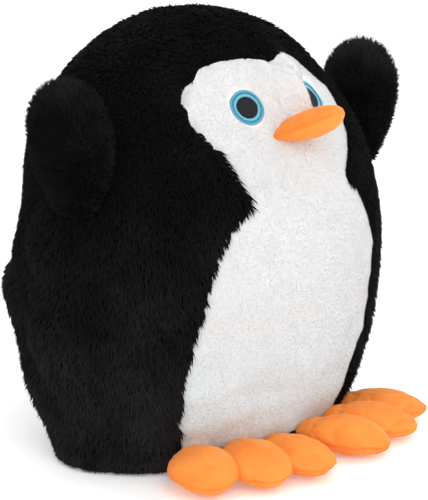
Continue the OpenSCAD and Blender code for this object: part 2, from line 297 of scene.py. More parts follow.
def body_form(out, divisions, fineness):
    """A closed mesh of the body, not yet sculpted, with its points on the seams.
    Each face's material number is its panel's place in PANELS."""
    form = bmesh.new()
    bmesh.ops.create_icosphere(form, subdivisions=divisions, radius=1)
    for v in form.verts:
        v.co = body_point(v.co.normalized(), out)
    snap_to(form, lambda p: p.z - BASE_SEAM, lambda p: Vector((p.x, p.y, BASE_SEAM)))
    snap_to(form, lambda p: p.y - SIDE_SEAM, lambda p: Vector((p.x, SIDE_SEAM, p.z)))
    snap_to(form, white_side, onto_white_edge)
    for face in form.faces:
        face.material_index = PANELS.index(panel_of(face.calc_center_median()))
    whole = new_piece("whole_body", form, None)
    for _ in PANELS:
        whole.data.materials.append(None)
    subdivide(whole, fineness)
    kinds = {}
    for polygon in whole.data.polygons:
        for v in polygon.vertices:
            kinds.setdefault(v, set()).add(polygon.material_index >= WHITE_FROM)
    for v in whole.data.vertices:
        if len(kinds[v.index]) == 2 and v.co.z > BASE_SEAM + 2 * MM:
            v.co = onto_white_edge(v.co)
    return whole


def form_normal(place):
    """The way out of the body's form at a place on it."""
    if place.z > WAIST:
        rise = (place.z - WAIST) / (CORE_HIGH.z - WAIST) ** 2
        return Vector((place.x / HALF_WIDTH ** 2, place.y / HALF_DEPTH ** 2, rise)).normalized()
    share = (WAIST - place.z) / WAIST
    out = Vector((place.x / HALF_WIDTH ** 2, place.y / HALF_DEPTH ** 2, 0)).normalized()
    return (out - Vector((0, 0, 0.4 * share))).normalized()


# ---- Making pieces ----

def new_piece(name, form, finish):
    """Makes an object of a bmesh, with smooth shading and its finish."""
    mesh = bpy.data.meshes.new(name)
    form.to_mesh(mesh)
    form.free()
    mesh.polygons.foreach_set("use_smooth", [True] * len(mesh.polygons))
    if finish:
        mesh.materials.append(finish)
    piece = bpy.data.objects.new(name, mesh)
    bpy.context.scene.collection.objects.link(piece)
    return piece


def apply_modifiers(piece):
    """Puts a piece's modifiers into its mesh."""
    graph = bpy.context.evaluated_depsgraph_get()
    made = bpy.data.meshes.new_from_object(piece.evaluated_get(graph))
    old = piece.data
    piece.modifiers.clear()
    piece.data = made
    bpy.data.meshes.remove(old)
    made.name = piece.name
    return piece


def subdivide(piece, levels):
    """Rounds a piece with finer faces."""
    finer = piece.modifiers.new("finer", "SUBSURF")
    finer.levels = levels
    finer.render_levels = levels
    return apply_modifiers(piece)


def seam_distance(mesh):
    """How far each point of a mesh lies from the mesh's open edges."""
    counts = np.zeros(len(mesh.edges), int)
    for polygon in mesh.polygons:
        for key in range(polygon.loop_start, polygon.loop_start + polygon.loop_total):
            counts[mesh.loops[key].edge_index] += 1
    rim = {i for e in np.nonzero(counts == 1)[0] for i in mesh.edges[e].vertices}
    tree = kdtree.KDTree(len(rim))
    for i in rim:
        tree.insert(mesh.vertices[i].co, i)
    tree.balance()
    return [tree.find(v.co)[2] for v in mesh.vertices]


def body_panel(name, whole, label, finish, groove, reach):
    """One panel cut from the whole body and sculpted, with its edges turned down into the seams."""
    cut = bmesh.new()
    cut.from_mesh(whole.data)
    others = [f for f in cut.faces if f.material_index != PANELS.index(label)]
    bmesh.ops.delete(cut, geom=others, context="FACES")
    for face in cut.faces:
        face.material_index = 0
    piece = new_piece(name, cut, finish)
    for v, away in zip(piece.data.vertices, seam_distance(piece.data)):
        normal = form_normal(v.co)
        v.co = sculpted(v.co, normal) - normal * groove * math.exp(-(away / reach) ** 2)
    piece.data.update()
    return piece


# ---- Materials ----

def material(name):
    """A new finish, with its nodes, its links and its shader."""
    made = bpy.data.materials.new(name)
    made.use_nodes = True
    return made, made.node_tree.nodes, made.node_tree.links, made.node_tree.nodes["Principled BSDF"]


def ramp(nodes, stops):
    """A run of colours, each given with its place from 0 to 1."""
    node = nodes.new("ShaderNodeValToRGB")
    node.color_ramp.elements[0].position = stops[0][0]
    node.color_ramp.elements[0].color = (*stops[0][1], 1)
    node.color_ramp.elements[1].position = stops[-1][0]
    node.color_ramp.elements[1].color = (*stops[-1][1], 1)
    for position, colour in stops[1:-1]:
        node.color_ramp.elements.new(position).color = (*colour, 1)
    return node


def object_noise(nodes, links, scale, detail=3):
    """Mottling that stays put on the object."""
    place = nodes.new("ShaderNodeTexCoord")
    pattern = nodes.new("ShaderNodeTexNoise")
    pattern.inputs["Scale"].default_value = scale
    pattern.inputs["Detail"].default_value = detail
    links.new(place.outputs["Object"], pattern.inputs["Vector"])
    return pattern


def painted_light_by_height(nodes, links, colour, shader):
    """Gives the shader a colour with painted light by height: painted lighter over the brow, and a painted
    cool cast near the toes that cancels the orange light they throw back at it."""
    place = nodes.new("ShaderNodeTexCoord")
    split = nodes.new("ShaderNodeSeparateXYZ")
    height = nodes.new("ShaderNodeMapRange")
    height.inputs["From Max"].default_value = 360 * MM
    painted_light_ramp = ramp(nodes, [(0.03, (0.76, 0.94, 1.0)), (0.16, (0.77, 0.87, 0.91)),
                        (0.36, (0.785, 0.785, 0.785)), (0.67, (0.80, 0.80, 0.80)),
                        (0.92, (0.87, 0.87, 0.87))])
    painted_light_mix = nodes.new("ShaderNodeMix")
    painted_light_mix.data_type = "RGBA"
    painted_light_mix.blend_type = "MULTIPLY"
    painted_light_mix.inputs["Factor"].default_value = 1
    links.new(place.outputs["Object"], split.inputs["Vector"])
    links.new(split.outputs["Z"], height.inputs["Value"])
    links.new(height.outputs["Result"], painted_light_ramp.inputs["Fac"])
    links.new(colour, painted_light_mix.inputs["A"])
    links.new(painted_light_ramp.outputs["Color"], painted_light_mix.inputs["B"])
    links.new(painted_light_mix.outputs["Result"], shader.inputs["Base Color"])


def pile(name, root, tip, sheen_painted_tip, roughness, sheen):
    """A tuft's finish: its UV map runs from root to tip along V, and along U from dull tufts to tufts with
    a painted sheen that are lighter at the tip.
    """
    made, nodes, links, shader = material(name)
    uv = nodes.new("ShaderNodeUVMap")
    uv.uv_map = "OFBake"
    split = nodes.new("ShaderNodeSeparateXYZ")
    dull = ramp(nodes, [(0, root), (1, tip)])
    bright = ramp(nodes, [(0, root), (1, sheen_painted_tip)])
    blend = nodes.new("ShaderNodeMix")
    blend.data_type = "RGBA"
    links.new(uv.outputs["UV"], split.inputs["Vector"])
    links.new(split.outputs["Y"], dull.inputs["Fac"])
    links.new(split.outputs["Y"], bright.inputs["Fac"])
    links.new(split.outputs["X"], blend.inputs["Factor"])
    links.new(dull.outputs["Color"], blend.inputs["A"])
    links.new(bright.outputs["Color"], blend.inputs["B"])
    # White pile also takes painted light by height
    if name.startswith("white"):
        painted_light_by_height(nodes, links, blend.outputs["Result"], shader)
    else:
        links.new(blend.outputs["Result"], shader.inputs["Base Color"])
    shader.inputs["Roughness"].default_value = roughness
    shader.inputs["Sheen Weight"].default_value = sheen
    shader.inputs["Sheen Roughness"].default_value = 0.5
    shader.inputs["Specular IOR Level"].default_value = 0.06
    return made


def backing(name, dark, light, bump_scale, bump_depth, roughness, sheen):
    """Cloth under or beside the pile, mottled and finely rough."""
    made, nodes, links, shader = material(name)
    mottle = object_noise(nodes, links, 60)
    shade = ramp(nodes, [(0.35, dark), (0.65, light)])
    links.new(mottle.outputs["Fac"], shade.inputs["Fac"])
    # White backing takes painted light by height
    if name.startswith("white"):
        painted_light_by_height(nodes, links, shade.outputs["Color"], shader)
    else:
        links.new(shade.outputs["Color"], shader.inputs["Base Color"])
    grain = object_noise(nodes, links, bump_scale, 6)
    bump = nodes.new("ShaderNodeBump")
    bump.inputs["Strength"].default_value = 0.5
    bump.inputs["Distance"].default_value = bump_depth
    links.new(grain.outputs["Fac"], bump.inputs["Height"])
    links.new(bump.outputs["Normal"], shader.inputs["Normal"])
    shader.inputs["Roughness"].default_value = roughness
    shader.inputs["Sheen Weight"].default_value = sheen
    shader.inputs["Sheen Roughness"].default_value = 0.4
    shader.inputs["Specular IOR Level"].default_value = 0.2
    return made


# ---- Tufts of pile ----

def tuft_form(bent):
    """One closed tapered tuft, standing one unit tall on a circle of unit radius."""
    form = bmesh.new()
    if bent:
        bmesh.ops.create_cone(form, cap_ends=True, segments=3, radius1=1, radius2=0.8, depth=0.45,
                              matrix=Matrix.Translation((0, 0, 0.225)))
        top = [f for f in form.faces if f.calc_center_median().z > 0.44]
        for v in bmesh.ops.poke(form, faces=top)["verts"]:
            v.co.z = 1
    else:
        bmesh.ops.create_cone(form, cap_ends=True, segments=3, radius1=1, radius2=0, depth=1,
                              matrix=Matrix.Translation((0, 0, 0.5)))
    bmesh.ops.triangulate(form, faces=[f for f in form.faces if len(f.verts) > 3])
    points = np.array([v.co for v in form.verts])
    faces = np.array([[v.index for v in f.verts] for f in form.faces])
    form.free()
    return points, faces


LONG_TUFT = tuft_form(True)
SHORT_TUFT = tuft_form(False)
MOST_TUFTS = 19000
# How far each tuft takes its shading from the surface it stands on
SOFTNESS = 0.6


def spots_on(mesh, count, dice):
    """Evenly random places on a mesh, with the way out at each."""
    mesh.calc_loop_triangles()
    corners = np.zeros(len(mesh.loop_triangles) * 3, int)
    mesh.loop_triangles.foreach_get("vertices", corners)
    corners = corners.reshape(-1, 3)
    places = np.zeros(len(mesh.vertices) * 3)
    mesh.vertices.foreach_get("co", places)
    places = places.reshape(-1, 3)[corners]
    normals = np.zeros(len(mesh.vertices) * 3)
    mesh.vertices.foreach_get("normal", normals)
    normals = normals.reshape(-1, 3)[corners]
    areas = np.linalg.norm(np.cross(places[:, 1] - places[:, 0], places[:, 2] - places[:, 0]), axis=1)
    steps = (np.arange(count) + dice.random(count)) / count
    chosen = np.searchsorted(np.cumsum(areas) / areas.sum(), steps).clip(0, len(areas) - 1)
    a = np.sqrt(dice.random((count, 1)))
    b = dice.random((count, 1))
    shares = np.concatenate([1 - a, a * (1 - b), a * b], axis=1)[:, :, None]
    outward = (normals[chosen] * shares).sum(axis=1)
    return (places[chosen] * shares).sum(axis=1), outward / np.linalg.norm(outward, axis=1, keepdims=True)


def unit(rows):
    """Each row made one long."""
    return rows / np.maximum(np.linalg.norm(rows, axis=1, keepdims=True), 1e-9)


def wander(places, scale, seed):
    """Three smooth random numbers at each place, from -1 to 1."""
    shift = Vector((seed * 3.7, seed * 1.3, seed * 2.1))
    return np.array([noise.noise_vector(Vector(p) * scale + shift) for p in places])


def spread(value, places):
    """A size that is one number, or that a function gives at each place, as a column."""
    given = value(places) if callable(value) else value
    return np.asarray(given, float).reshape(-1, 1) * np.ones((len(places), 1))


def tufts(name, surface, finish, count, length, width, comb, lean, seed,
          shape=LONG_TUFT, pull=0.25, keep=None, bright=0.35):
    """Pile on a surface: leaning tufts that gather into locks, as pieces of MOST_TUFTS at most.
    comb gives the way that the pile runs at each place, lean how far it lies over, from 0 to 1, and the
    last argument how far its tufts are painted lighter at the tip, a painted sheen."""
    dice = np.random.default_rng(seed)
    places, outward = spots_on(surface.data, count, dice)
    if keep is not None:
        chosen = keep(places)
        places, outward = places[chosen], outward[chosen]
    count = len(places)
    run = comb(places) + 0.4 * wander(places, 26, seed) + 0.25 * dice.normal(size=(count, 3))
    run = unit(run - outward * (run * outward).sum(axis=1, keepdims=True))
    lying = np.clip(spread(lean, places) + 0.1 * dice.normal(size=(count, 1)), 0.05, 0.95)
    tall = spread(length, places) * (0.75 + 0.4 * dice.random((count, 1)))
    middle = places + tall * 0.45 * unit(outward * (1 - 0.6 * lying) + run * 0.6 * lying)
    tip = middle + tall * 0.55 * unit(outward * (1 - lying) + run * lying)
    centres, _ = spots_on(surface.data, max(4, count // 14), dice)
    tree = kdtree.KDTree(len(centres))
    for i, centre in enumerate(centres):
        tree.insert(centre, i)
    tree.balance()
    drift = np.array([tree.find(p)[0] for p in places]) - places
    drift -= outward * (drift * outward).sum(axis=1, keepdims=True)
    drift *= np.minimum(1, 6 * MM / np.maximum(np.linalg.norm(drift, axis=1, keepdims=True), 1e-9))
    strength = pull * (0.4 + 0.9 * dice.random((count, 1)))
    middle += drift * strength * 0.4
    tip += drift * strength
    # Painted sheen: how far each tuft is painted towards its lighter tip colour, the painted sheen level
    # plus random patches
    sheen_and_patches = spread(bright, places)[:, 0]
    patchy = 0.5 * wander(places, 24, 5)[:, 0] + 0.35 * wander(places, 80, 6)[:, 0]
    patchy += 0.12 * dice.normal(size=count)
    sheen_and_patches = sheen_and_patches + patchy * (0.15 + 1.3 * sheen_and_patches)
    roots = places - outward * MM
    made = []
    for part, start in enumerate(range(0, count, MOST_TUFTS)):
        rows = slice(start, start + MOST_TUFTS)
        suffix = f"_{part + 1}" if count > MOST_TUFTS else ""
        made.append(tuft_mesh(name + suffix, shape, roots[rows], middle[rows], tip[rows],
                              outward[rows], width, dice, finish, np.clip(sheen_and_patches[rows], 0, 0.96)))
    return made


def tuft_mesh(name, shape, root, middle, tip, outward, width, dice, finish, sheen_and_patches):
    """One mesh of many tufts through their roots, middles and tips, shaded softly like the
    surface below."""
    form, form_faces = shape
    count, size = len(root), len(form)
    along = unit(tip - root)
    side = unit(np.cross(along, dice.normal(size=(count, 3))))
    other = np.cross(along, side)
    thick = width * (0.7 + 0.6 * dice.random((count, 1))) / 2
    share = form[None, :, 2:3]
    centre = np.where(share < 0.2, root[:, None], np.where(share < 0.7, middle[:, None], tip[:, None]))
    across = side[:, None] * form[None, :, 0:1] + other[:, None] * form[None, :, 1:2]
    points = (centre + across * np.where(share > 0.9, 0, 1) * thick[:, None]).reshape(-1, 3)
    points[:, 2] = np.maximum(points[:, 2], 0.5 * MM)
    faces = (form_faces[None] + (np.arange(count) * size)[:, None, None]).reshape(-1, 3)
    mesh = bpy.data.meshes.new(name)
    mesh.from_pydata(points, [], faces)
    mesh.polygons.foreach_set("use_smooth", np.ones(len(faces), bool))
    own = np.zeros(len(points) * 3)
    mesh.vertices.foreach_get("normal", own)
    soft = unit(own.reshape(-1, 3) * (1 - SOFTNESS) + np.repeat(outward, size, axis=0) * SOFTNESS)
    mesh.normals_split_custom_set_from_vertices(soft.tolist())
    corners = form_faces.reshape(-1)
    around = (np.arctan2(form[:, 1], form[:, 0]) / math.tau) % 1
    # U carries each tuft's painted sheen and random patches
    u = sheen_and_patches[:, None] + 0.02 * around[corners][None]
    v = 0.01 + 0.98 * form[corners, 2][None] * np.ones((count, 1)) + 0.008 * around[corners][None]
    layer = mesh.uv_layers.new(name="OFBake")
    layer.data.foreach_set("uv", np.stack([u, v], axis=2).astype(np.float32).ravel())
    mesh.materials.append(finish)
    piece = bpy.data.objects.new(name, mesh)
    bpy.context.scene.collection.objects.link(piece)
    return piece


# ---- Stuffed cushions: toes, beak and flippers ----

# Cuts along each edge of the block that a leaf is bent from, and the share of it that closes its root
LEAF_CUTS = 18
LEAF_CAP = 0.12
# Steps for which the stuffing presses on a cushion
STUFFING_STEPS = 20


def leaf(length, width, rise, drop, root, widest, point=0.0, edge=1.5, under=1.5):
    """A leaf-shaped cushion along +Y from its root at the origin, with its edge seam in the XY plane.
    root is the share of the width at the root, widest the share of the length at which it is widest,
    and point makes the tip narrower. Higher values of edge and under make the seam sharper above and
    below it. The crest attribute runs from 0 on the seam to 1 on the crests."""
    form = bmesh.new()
    bmesh.ops.create_cube(form, size=2)
    bmesh.ops.subdivide_edges(form, edges=form.edges[:], cuts=LEAF_CUTS, use_grid_fill=True)
    crest = form.verts.layers.float.new("crest")
    for v in form.verts:
        way = Vector([math.tan(c * math.pi / 4) for c in v.co]).normalized()
        polar = math.acos(max(-1, min(1, -way.y))) / math.pi
        step = (polar - LEAF_CAP) / (1 - LEAF_CAP)
        if step < 0:
            station, share = 0, root * polar / LEAF_CAP
        elif step < 0.5:
            station = widest * step / 0.5
            share = root + (1 - root) * math.sin(math.pi * step)
        else:
            turn = math.pi * (step - 0.5)
            station = widest + (1 - widest) * math.sin(turn)
            share = max(0, math.cos(turn)) ** (1 + point * math.sin(turn))
        angle = math.atan2(way.z, way.x)
        swell = abs(math.sin(angle)) ** (edge if way.z > 0 else under)
        lift = (rise if way.z > 0 else -drop) * swell * share
        v[crest] = swell * min(1, 2.5 * share)
        v.co = Vector((math.cos(angle) * width / 2 * share, station * length, lift))
    return form


def crumple(piece, depth, scale):
    """Fine wrinkles along a cushion that still lies along +Y."""
    moves = []
    for v in piece.data.vertices:
        spot = Vector((v.co.x, v.co.y * 0.4, v.co.z)) * scale
        moves.append(v.co + v.normal * depth * (noise.noise(spot) + 0.5 * noise.noise(spot * 2.3)))
    for v, place in zip(piece.data.vertices, moves):
        v.co = place
    piece.data.update()
    return piece


def inflate(piece, pressure, cap, held):
    """Blows a cushion up as stuffing does, by cap at most. held says how firmly the seams keep
    each point in place."""
    group = piece.vertex_groups.new(name="held")
    rest = [v.co.copy() for v in piece.data.vertices]
    for v in piece.data.vertices:
        grip = held(v.co)
        if grip > 0:
            group.add([v.index], grip, "REPLACE")
    cloth = piece.modifiers.new("cloth", "CLOTH")
    cloth.settings.use_pressure = True
    cloth.settings.uniform_pressure_force = pressure
    cloth.settings.vertex_group_mass = "held"
    cloth.settings.effector_weights.gravity = 0
    cloth.settings.quality = 5
    cloth.settings.shrink_min = -0.02
    scene = bpy.context.scene
    for step in range(1, STUFFING_STEPS + 1):
        scene.frame_set(step)
    apply_modifiers(piece)
    scene.frame_set(1)
    for v, start in zip(piece.data.vertices, rest):
        move = v.co - start
        if move.length > cap:
            v.co = start + move.normalized() * cap
    piece.vertex_groups.clear()
    return piece


def on_seam(place):
    """Whether a point of a cushion lies on its edge seam."""
    return abs(place.z) < 0.4 * MM


def fade(value, start, end):
    """0 up to start, 1 from end on, and a straight line between them."""
    return min(1, max(0, (value - start) / (end - start)))


def turned(x=0, y=0, z=0):
    """Turns by angles in degrees about X, then Y, then Z."""
    return (Matrix.Rotation(math.radians(z), 4, "Z") @ Matrix.Rotation(math.radians(y), 4, "Y")
            @ Matrix.Rotation(math.radians(x), 4, "X"))


def place_mesh(piece, matrix):
    """Moves a piece's mesh, and leaves its object at the origin."""
    piece.data.transform(matrix)
    piece.data.update()
    return piece


def front_of_dome(x, z, out):
    """The place on the front of the dome at x and z, grown by out."""
    rise = (z - WAIST) / (CORE_HIGH.z - WAIST + out)
    across = x / (HALF_WIDTH + out)
    front = (HALF_DEPTH + out) * math.sqrt(1 - across ** 2 - rise ** 2)
    return Vector((x, CROWN_BACK * rise ** 2 - front, z))


# The eyes' middles on the front of the face, their radius and their pupils'
EYES = {"left": (50 * MM, 304 * MM), "right": (-39.5 * MM, 304 * MM)}
EYE_RADIUS = 15.8 * MM
PUPIL_RADIUS = 9.8 * MM


# ---- Finishes ----

BLACK_SKIN = backing("black_backing", (0.002, 0.002, 0.0022), (0.004, 0.004, 0.0045),
                     400, 2 * MM, 0.9, 0)
WHITE_SKIN = backing("white_backing", (0.875, 0.875, 0.873), (0.925, 0.925, 0.923),
                     900, 0.5 * MM, 0.95, 0.05)
# Each pile's last colour is the lighter tip that its tufts are painted towards, a painted sheen
BLACK_PILE = pile("black_pile", (0.0012, 0.0012, 0.0013), (0.0042, 0.0042, 0.0045),
                  (0.038, 0.038, 0.0395), 0.8, 0)
WHITE_PILE = pile("white_pile", (0.88, 0.88, 0.878), (0.905, 0.905, 0.903),
                  (0.93, 0.93, 0.928), 0.9, 0.05)


def velour():
    """Orange velour: a very short pile, with painted shade towards the seams, and deeper in colour in faint
    patches.
    """
    made, nodes, links, shader = material("orange_velour")
    patches = object_noise(nodes, links, 34)
    shade = ramp(nodes, [(0.3, (0.90, 0.235, 0.036)), (0.5, (0.95, 0.29, 0.055)),
                         (0.75, (0.97, 0.33, 0.072))])
    links.new(patches.outputs["Fac"], shade.inputs["Fac"])
    # Painted shade: deeper orange where the crest attribute is low, along the edge seam and at the ends
    crest = nodes.new("ShaderNodeAttribute")
    crest.attribute_name = "crest"
    depth = ramp(nodes, [(0, (0.45, 0.45, 0.45)), (0.3, (0, 0, 0))])
    links.new(crest.outputs["Fac"], depth.inputs["Fac"])
    seam = nodes.new("ShaderNodeMix")
    seam.data_type = "RGBA"
    seam.inputs["B"].default_value = (0.84, 0.16, 0.016, 1)
    links.new(depth.outputs["Color"], seam.inputs["Factor"])
    links.new(shade.outputs["Color"], seam.inputs["A"])
    links.new(seam.outputs["Result"], shader.inputs["Base Color"])
    grain = object_noise(nodes, links, 1600, 4)
    bump = nodes.new("ShaderNodeBump")
    bump.inputs["Strength"].default_value = 0.35
    bump.inputs["Distance"].default_value = 0.3 * MM
    links.new(grain.outputs["Fac"], bump.inputs["Height"])
    links.new(bump.outputs["Normal"], shader.inputs["Normal"])
    shader.inputs["Roughness"].default_value = 0.85
    shader.inputs["Sheen Weight"].default_value = 0.25
    shader.inputs["Sheen Roughness"].default_value = 0.35
    shader.inputs["Sheen Tint"].default_value = (1.0, 0.75, 0.45, 1)
    shader.inputs["Specular IOR Level"].default_value = 0.1
    return made


def thread(name, colour):
    """Satin embroidery thread."""
    made, nodes, links, shader = material(name)
    mottle = object_noise(nodes, links, 700)
    dark = tuple(0.8 * c for c in colour)
    shade = ramp(nodes, [(0.3, dark), (0.7, colour)])
    links.new(mottle.outputs["Fac"], shade.inputs["Fac"])
    links.new(shade.outputs["Color"], shader.inputs["Base Color"])
    shader.inputs["Roughness"].default_value = 0.42
    shader.inputs["Specular IOR Level"].default_value = 0.4
    return made


VELOUR = velour()
SKY_THREAD = thread("sky_thread", (0.22, 0.66, 0.84))
RIM_THREAD = thread("rim_thread", (0.15, 0.50, 0.66))
TEAL_THREAD = thread("teal_thread", (0.05, 0.27, 0.38))
PUPIL_THREAD = thread("pupil_thread", (0.008, 0.009, 0.013))


# ---- Body panels ----

# How far back the face's pile is looked at, where the brow's trimmed pile starts, and the
# height and reach of the wisps at the neck
BACK_OF_FACE = -40 * MM
BROW_FROM = 285 * MM
NECK = 252 * MM
WISPS_REACH = 24 * MM
# Spots for pile on each panel, by its name
PILE_COUNTS = {"side_left": 14000, "side_right": 18500, "back_left": 34000, "back_right": 36000,
               "base": 42000, "face_left": 9000, "face_right": 11000, "belly": 40000}


def downward(places):
    """Pile that runs straight down."""
    return np.tile((0.0, 0.0, -1.0), (len(places), 1))


def edge_share(place, low, high, reach):
    """1 on the white edge between two heights at the front, and 0 from reach away from it on."""
    if place[1] > BACK_OF_FACE or not low <= place[2] <= high:
        return 0
    away = (Vector((place[0], place[2])) - nearest_on(WHITE_EDGE, place[0], place[2])).length
    return max(0, 1 - away / reach)


def brow_share(places):
    """1 along the seam over the brow, where the pile is trimmed and lies along the seam, and 0
    away from it."""
    return np.array([edge_share(p, BROW_FROM, CORE_HIGH.z, 14 * MM) * min(1, (p[2] - BROW_FROM) / (20 * MM))
                     for p in places])


def wisp_share(places):
    """1 along the white edge at the neck, where long pile hangs over it, and 0 away from it."""
    low, high = NECK - WISPS_REACH, NECK + WISPS_REACH
    return np.array([edge_share(p, low, high, 9 * MM) * (1 if p[0] < 0 else 0.3) for p in places])


def body_run(places):
    """The pile runs down the body, along the seam over the brow, and over the white at the neck."""
    share = brow_share(places)[:, None]
    still = np.zeros(len(places))
    aside = np.stack([np.sign(places[:, 0] - 5 * MM), still, still + 0.1], axis=1)
    over = np.stack([-np.sign(places[:, 0]), still, still - 0.5], axis=1)
    down = downward(places) * (1 - share)
    return down + aside * share * 1.4 + over * wisp_share(places)[:, None] * 0.9


def fur_length(places):
    """The pile stands taller low on the body, where it is ruffled, and is trimmed over the brow
    and at the floor."""
    height = places[:, 2] / CORE_HIGH.z
    low = np.clip(1 - places[:, 2] / (26 * MM), 0, 1)
    trim = 1 - 0.4 * brow_share(places) + 0.5 * wisp_share(places)
    return (11.5 - 3.5 * np.clip(height * 1.4, 0, 1) - 6.5 * low) * MM * trim


def fur_lean(places):
    """The pile lies flatter towards the top, and along the brow."""
    height = places[:, 2] / CORE_HIGH.z
    return 0.6 + 0.24 * np.clip(height * 1.2, 0, 1) + 0.08 * brow_share(places)


def fur_painted_sheen(places):
    """Painted sheen: ruffled pile low on the body is painted lighter, standing in for the light it catches.
    """
    height = places[:, 2] / CORE_HIGH.z
    return 0.5 - 0.48 * np.clip(height * 1.7 - 0.1, 0, 1)


def off_the_eyes(places):
    """Whether each place is clear of the embroidery."""
    clear = np.ones(len(places), bool)
    for x, z in EYES.values():
        clear &= np.hypot(places[:, 0] - x, places[:, 2] - z) > EYE_RADIUS * 0.97
    return clear


def off_the_floor(places):
    """Whether each place on the bottom is far enough up its edge to show."""
    return places[:, 2] > 3.5 * MM


def white_panel(node, form, label, count, seed):
    """A panel of short white plush: its skin, and the pile on it."""
    skin = body_panel(node.replace("panel", "skin"), form, label, WHITE_SKIN, 1.2 * MM, 4 * MM)
    return skin, tufts(node.replace("panel", "plush"), skin, WHITE_PILE, count, 2.2 * MM, 0.9 * MM,
                       downward, 0.9, seed, SHORT_TUFT, 0.1, off_the_eyes)


def black_panel(node, form, label, count, seed):
    """A panel of long black fur: its skin, and the pile on it."""
    skin = body_panel(node.replace("panel", "skin"), form, label, BLACK_SKIN, 2 * MM, 5 * MM)
    return skin, tufts(node.replace("panel", "fur"), skin, BLACK_PILE, count, fur_length, 1.8 * MM,
                       body_run, fur_lean, seed, keep=off_the_floor if label == "base" else None,
                       bright=fur_painted_sheen)


def add_body():
    """The skin of each panel and its pile. Returns the skins by their panels' names."""
    black_form = body_form(ROOTS_OUT, 5, 1)
    white_form = body_form(ROOTS_OUT, 5, 2)
    skins = {}
    for number, (label, count) in enumerate(PILE_COUNTS.items()):
        kind, _, side = label.partition("_")
        node = kind + "_panel" + ("_" + side if side else "")
        white = kind in ("face", "belly")
        if white:
            skin, pile_pieces = white_panel(node, white_form, label, count, number + 1)
        else:
            skin, pile_pieces = black_panel(node, black_form, label, count, number + 1)
        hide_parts(node)
        for piece in [skin] + pile_pieces:
            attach(piece, "body")
        skins[label] = skin
    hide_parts("torso_filling")
    for form in (black_form, white_form):
        bpy.data.objects.remove(form)
    return skins


# ---- Embroidered eyes ----

class EyeGround:
    """The stretch of face under one eye, on which its stitches are laid."""

    def __init__(self, face, x, z):
        self.face = BVHTree.FromObject(face, bpy.context.evaluated_depsgraph_get())
        self.middle = front_of_dome(x, z, PLUSH_OUT)
        self.normal = form_normal(self.middle)
        self.across = (Vector((1, 0, 0)) - self.normal * self.normal.x).normalized()
        self.up = self.normal.cross(self.across)

    def laid(self, u, v, lift):
        """The place on the face under a spot of the eye's own plane, raised by lift."""
        start = self.middle + self.across * u + self.up * v + self.normal * 20 * MM
        hit, way, _, _ = self.face.ray_cast(start, -self.normal)
        return (hit if hit else self.middle) + (way if hit else self.normal) * lift


def stitch_ring(form, ground, spot, edge, width, height):
    """The half-round section of a stitch at a spot, across the way it runs."""
    ring = []
    for step in range(5):
        turn = math.pi * step / 4
        shift = math.cos(turn) * width / 2
        place = ground.laid(spot.x - edge.y * shift, spot.y + edge.x * shift, math.sin(turn) * height)
        ring.append(form.verts.new(place))
    return ring


def stitches(name, ground, lines, width, height, finish, node):
    """One stitch along each line, thin at its ends, as one piece that replaces a node."""
    form = bmesh.new()
    for start, end in lines:
        start, end = Vector(start), Vector(end)
        edge = (end - start).normalized()
        count = max(2, int((end - start).length / (2 * MM)) + 1)
        rings = []
        for k in range(count + 1):
            thin = 0.35 if k in (0, count) else 1
            spot = start.lerp(end, k / count)
            rings.append(stitch_ring(form, ground, spot, edge, width * thin, height * thin))
        for one, two in zip(rings, rings[1:]):
            for k in range(5):
                form.faces.new((one[k], one[(k + 1) % 5], two[(k + 1) % 5], two[k]))
        form.faces.new(rings[0][::-1])
        form.faces.new(rings[-1])
    bmesh.ops.recalc_face_normals(form, faces=form.faces)
    piece = new_piece(name, form, finish)
    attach(piece, "body")
    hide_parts(node)
    return piece


def around(count, steps):
    """Ways round a circle that count steps go round."""
    return [Vector((math.cos(math.tau * k / count), math.sin(math.tau * k / count))) for k in range(steps)]


def spokes(inner, outer, count):
    """Lines that stand out from a circle."""
    return [(way * inner, way * outer) for way in around(count, count)]


def ring_line(radius, count):
    """Lines end to end round a circle."""
    ways = around(count, count + 1)
    return [(a * radius, b * radius) for a, b in zip(ways, ways[1:])]


def pupil_rows():
    """Lines side by side that fill the pupil."""
    rows = []
    for k in range(-16, 17):
        across = k * 0.6 * MM
        reach = math.sqrt(max(0, PUPIL_RADIUS ** 2 - across ** 2))
        if reach > 1 * MM:
            rows.append(((across, -reach), (across, reach)))
    return rows


def add_eyes(skins):
    """Satin stitches round each eye and rows of stitches over its pupil, laid on the face."""
    for side, (x, z) in EYES.items():
        ground = EyeGround(skins["face_" + side], x, z)
        ring = stitches(f"eye_ring_stitches_{side}", ground, spokes(12.7 * MM, EYE_RADIUS, 130),
                        0.85 * MM, 1.1 * MM, RIM_THREAD, f"eye_ring_{side}")
        iris = stitches(f"iris_stitches_{side}", ground, spokes(9.2 * MM, 12.9 * MM, 110),
                        0.8 * MM, 1.0 * MM, SKY_THREAD, f"iris_{side}")
        pupil = stitches(f"pupil_stitches_{side}", ground, pupil_rows(),
                         0.75 * MM, 1.3 * MM, PUPIL_THREAD, f"pupil_{side}")
        outline = stitches(f"eye_outline_{side}", ground, ring_line(12.8 * MM, 60),
                           0.5 * MM, 1.4 * MM, TEAL_THREAD, f"eye_ring_{side}")


# ---- Toes ----

# Turns in degrees: the middle toe's place round the body and its heading, and the steps from
# toe to toe in each
FOOT_ANGLE = 24.5
TOE_STEP = 17
FOOT_HEADING = 24.5
TOE_FAN = 8.5
# The ring round the body's foot on which the toes are sewn, and its height
FUR_OUT = 9 * MM
RING_WIDTH = HALF_WIDTH + FUR_OUT - BOTTOM_INSET
RING_DEPTH = HALF_DEPTH + FUR_OUT - BOTTOM_INSET
TOE_SEAM = 15 * MM
